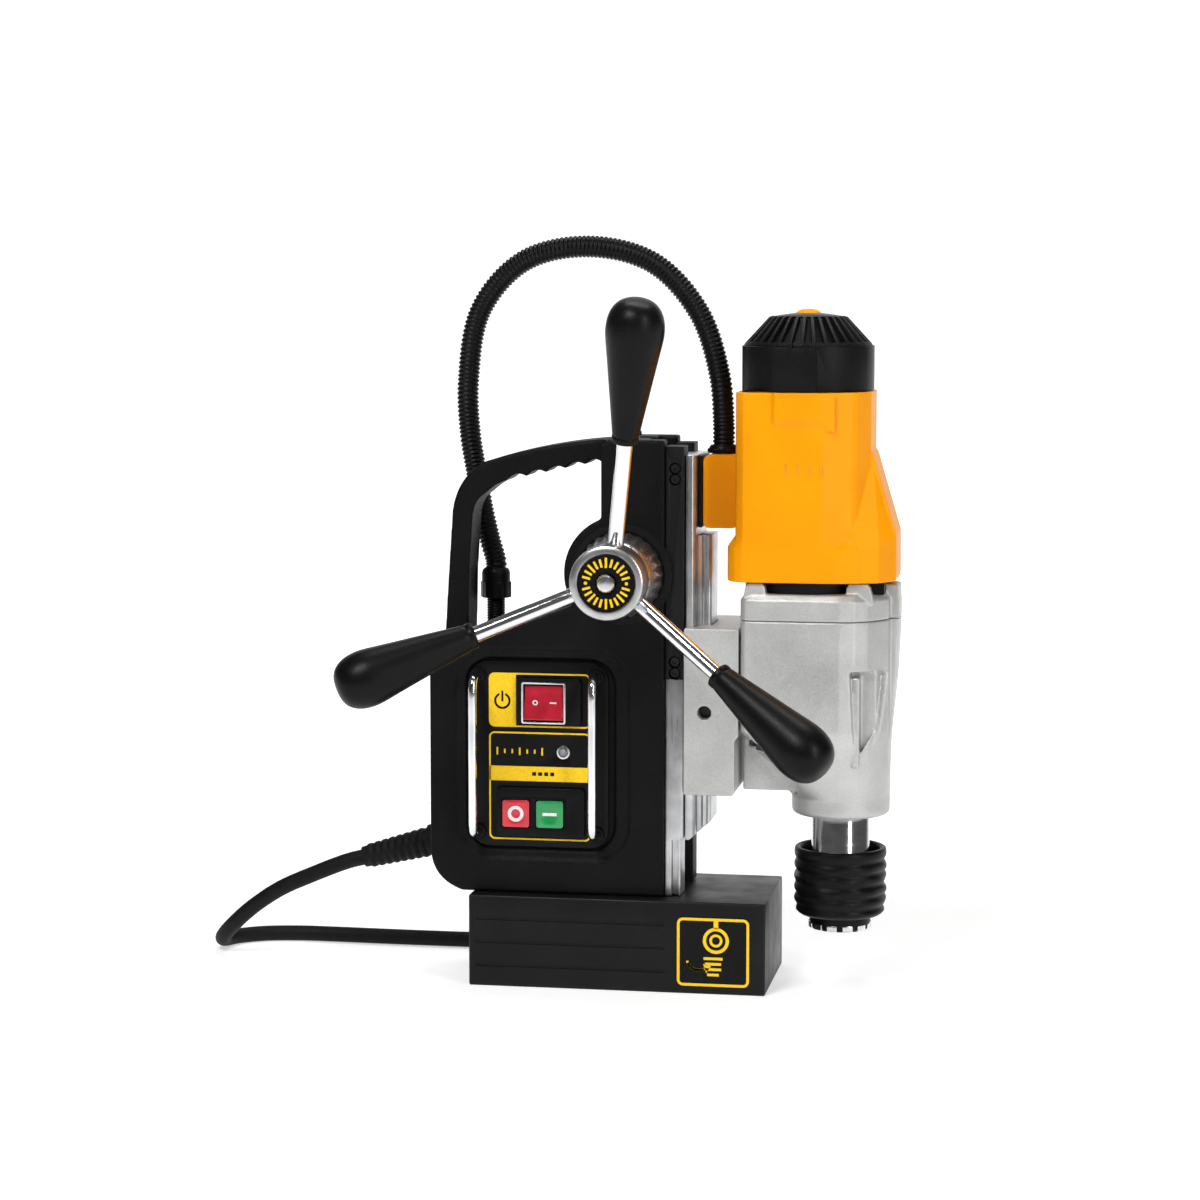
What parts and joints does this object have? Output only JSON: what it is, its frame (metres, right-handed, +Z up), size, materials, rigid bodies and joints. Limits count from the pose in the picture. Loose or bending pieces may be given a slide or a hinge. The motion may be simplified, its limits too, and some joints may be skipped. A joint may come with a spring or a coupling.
{
  "type": "magnetic drill press",
  "caption": "Portable drill press on a switched magnet base, with a rack-fed motor head, a feed wheel with long knobs, a quick-change chuck and a mains lead.",
  "frame": {"origin": "centre of the magnet's underside, on the work surface", "axes": "+X towards the drill head, -Y towards the control panel, +Z up along the column and the spindle"},
  "size_m": [0.3984, 0.2836, 0.4132],
  "materials": {
    "magnet_black": "satin black paint with fine texture",
    "frame_black": "black textured powder coat on an aluminium casting",
    "plastic_black": "moulded black plastic",
    "rubber_black": "matte black rubber",
    "motor_yellow": "satin yellow moulded nylon",
    "cast_silver": "fine sand-cast aluminium, light grey",
    "steel": "turned and ground steel",
    "chrome": "bright chrome plate",
    "copper": "enamelled copper winding",
    "bronze": "sintered bronze",
    "button_red": "glossy red plastic",
    "button_green": "glossy green plastic",
    "board_green": "lacquered circuit board",
    "lamp_lens": "clear lamp lens"
  },
  "bodies": {
    "base": {"magnet_base": "magnet_black", "magnet_coil": "copper", "magnet_potting": "plastic_black", "base_bolt_rear": "steel", "base_bolt_front": "steel", "frame_casting": "frame_black", "carry_handle": "frame_black", "side_cover": "frame_black", "guide_upper_near": "frame_black", "guide_lower_near": "cast_silver", "guide_far": "frame_black", "pinion_bush_near": "bronze", "pinion_bush_far": "bronze", "control_panel": "plastic_black", "rocker_frame": "plastic_black", "button_frame": "plastic_black", "overload_lamp": "lamp_lens", "circuit_board": "board_green", "guard_bar_left": "chrome", "guard_bar_right": "chrome", "conduit_gland_lower": "plastic_black", "conduit": "rubber_black", "cord_relief": "rubber_black", "mains_cord": "rubber_black", "mains_coil": "rubber_black", "mains_plug": "rubber_black"},
    "carriage": {"slide": "cast_silver", "rack": "steel", "head_bracket": "cast_silver", "gear_case": "cast_silver", "gear_case_cover": "cast_silver", "motor_housing": "motor_yellow", "motor_cap": "plastic_black", "junction_box": "motor_yellow", "junction_box_back": "plastic_black", "conduit_gland_upper": "plastic_black", "stator": "steel", "brush_near": "bronze", "brush_far": "bronze", "spindle_bearing": "steel"},
    "feed_wheel": {"pinion_shaft": "steel", "feed_hub": "steel", "hub_disc": "plastic_black", "spoke_1": "chrome", "spoke_2": "chrome", "spoke_3": "chrome", "knob_1": "plastic_black", "knob_2": "plastic_black", "knob_3": "plastic_black"},
    "hub_button": {"release_button": "chrome"},
    "armature": {"armature_shaft": "steel", "rotor_core": "steel", "commutator": "copper", "cooling_fan": "plastic_black"},
    "idler": {"idler_gear": "steel"},
    "spindle": {"spindle": "steel"},
    "sleeve": {"chuck_sleeve": "rubber_black"},
    "rocker": {"magnet_rocker": "button_red"},
    "stop": {"stop_button": "button_red"},
    "start": {"start_button": "button_green"}
  },
  "joints": [
    {"name": "feed_wheel_spin", "type": "hinge", "parent": "base", "child": "feed_wheel", "pos_m": [0.0014, 0, 0.2293], "axis": [0, 1, 0], "range_deg": [-630, 133]},
    {"name": "carriage_feed", "type": "slide", "parent": "base", "child": "carriage", "axis": [0, 0, 1], "range_m": [-0.028, 0.132], "deforming": ["conduit"]},
    {"name": "hub_button_press", "type": "slide", "parent": "feed_wheel", "child": "hub_button", "axis": [0, 1, 0], "range_m": [0, 0.003], "stiffness_N_per_m": 400, "springref_m": -0.001},
    {"name": "armature_spin", "type": "hinge", "parent": "carriage", "child": "armature", "pos_m": [0.0995, 0, 0.27], "axis": [0, 0, 1], "continuous": true},
    {"name": "idler_spin", "type": "hinge", "parent": "carriage", "child": "idler", "pos_m": [0.10135, 0.0174, 0.18], "axis": [0, 0, 1], "continuous": true},
    {"name": "spindle_spin", "type": "hinge", "parent": "carriage", "child": "spindle", "pos_m": [0.1193, 0, 0.1], "axis": [0, 0, 1], "continuous": true},
    {"name": "sleeve_lift", "type": "slide", "parent": "spindle", "child": "sleeve", "axis": [0, 0, 1], "range_m": [0, 0.006], "stiffness_N_per_m": 400, "springref_m": -0.003},
    {"name": "rocker_tilt", "type": "hinge", "parent": "base", "child": "rocker", "pos_m": [-0.0417, -0.0302, 0.1575], "axis": [1, 0, 0], "range_deg": [0, 12]},
    {"name": "stop_press", "type": "slide", "parent": "base", "child": "stop", "axis": [0, 1, 0], "range_m": [0, 0.003], "stiffness_N_per_m": 400, "springref_m": -0.001},
    {"name": "start_press", "type": "slide", "parent": "base", "child": "start", "axis": [0, 1, 0], "range_m": [0, 0.003], "stiffness_N_per_m": 400, "springref_m": -0.001}
  ],
  "couplings": [
    {"joint": "carriage_feed", "follows": "feed_wheel_spin", "m_per_rad": -0.012},
    {"joint": "idler_spin", "follows": "armature_spin", "ratio": -0.25},
    {"joint": "spindle_spin", "follows": "armature_spin", "ratio": 0.0625}
  ]
}
